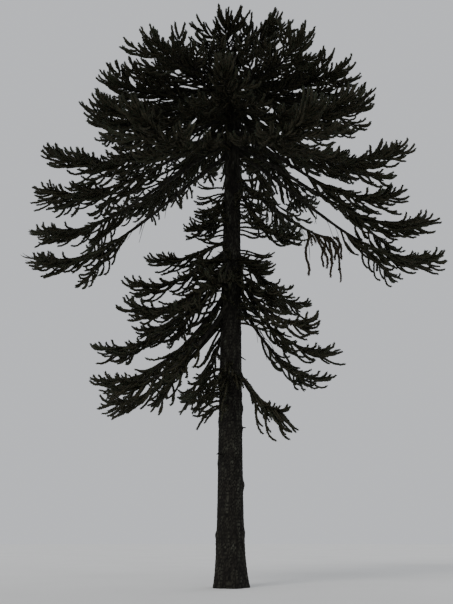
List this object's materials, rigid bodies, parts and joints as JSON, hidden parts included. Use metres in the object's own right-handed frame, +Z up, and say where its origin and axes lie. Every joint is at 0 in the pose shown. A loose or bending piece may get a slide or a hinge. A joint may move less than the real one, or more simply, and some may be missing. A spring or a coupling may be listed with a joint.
{
  "type": "monkey puzzle tree",
  "caption": "Tall evergreen tree with a bare straight trunk, an umbrella crown of drooping scaly boughs with upturned tips and a smaller crown below it.",
  "frame": {"origin": "middle of the trunk's flat cut at ground level", "axes": "+Z up along the trunk, +X to the right and +Y away from the viewer as the picture shows the tree"},
  "size_m": [17.1163, 14.5098, 22.8],
  "materials": {
    "bark": "rough grey-brown bark in upright plates",
    "foliage": "stiff dark green scale leaves"
  },
  "bodies": {
    "root": {"bough_dying_16": "bark", "bough_east_skirt_0": "bark", "bough_low_hanging_346": "bark", "bough_west_skirt_180": "bark", "mass_crest_267": "foliage", "mass_dying_16": "foliage", "mass_east_broad_344": "foliage", "mass_east_skirt_0": "foliage", "mass_east_wide_352": "foliage", "mass_flank_176": "foliage", "mass_flank_4": "foliage", "mass_fore_208": "foliage", "mass_fore_329": "foliage", "mass_front_224": "foliage", "mass_front_268": "foliage", "mass_front_312": "foliage", "mass_high_150": "foliage", "mass_high_30": "foliage", "mass_inner_east_350": "foliage", "mass_inner_west_186": "foliage", "mass_low_back_143": "foliage", "mass_low_bent_32": "foliage", "mass_low_broad_14": "foliage", "mass_low_drooping_168": "foliage", "mass_low_drooping_216": "foliage", "mass_low_fore_222": "foliage", "mass_low_hanging_346": "foliage", "mass_low_inset_258": "foliage", "mass_low_inset_330": "foliage", "mass_low_middle_200": "foliage", "mass_low_near_322": "foliage", "mass_low_outer_354": "foliage", "mass_low_reaching_176": "foliage", "mass_low_rear_115": "foliage", "mass_low_short_346": "foliage", "mass_low_top_177": "foliage", "mass_low_wide_192": "foliage", "mass_near_skirt_246": "foliage", "mass_near_skirt_290": "foliage", "mass_rear_128": "foliage", "mass_rear_52": "foliage", "mass_rear_90": "foliage", "mass_rear_crest_105": "foliage", "mass_rear_shoulder_112": "foliage", "mass_rear_shoulder_68": "foliage", "mass_rear_skirt_142": "foliage", "mass_rear_skirt_62": "foliage", "mass_shoulder_205": "foliage", "mass_shoulder_238": "foliage", "mass_shoulder_300": "foliage", "mass_shoulder_326": "foliage", "mass_side_184": "foliage", "mass_side_345": "foliage", "mass_upper_180": "foliage", "mass_upper_60": "foliage", "mass_upper_near_304": "foliage", "mass_west_broad_190": "foliage", "mass_west_skirt_180": "foliage", "mass_west_wide_171": "foliage", "trunk": "bark"}
  },
  "joints": []
}
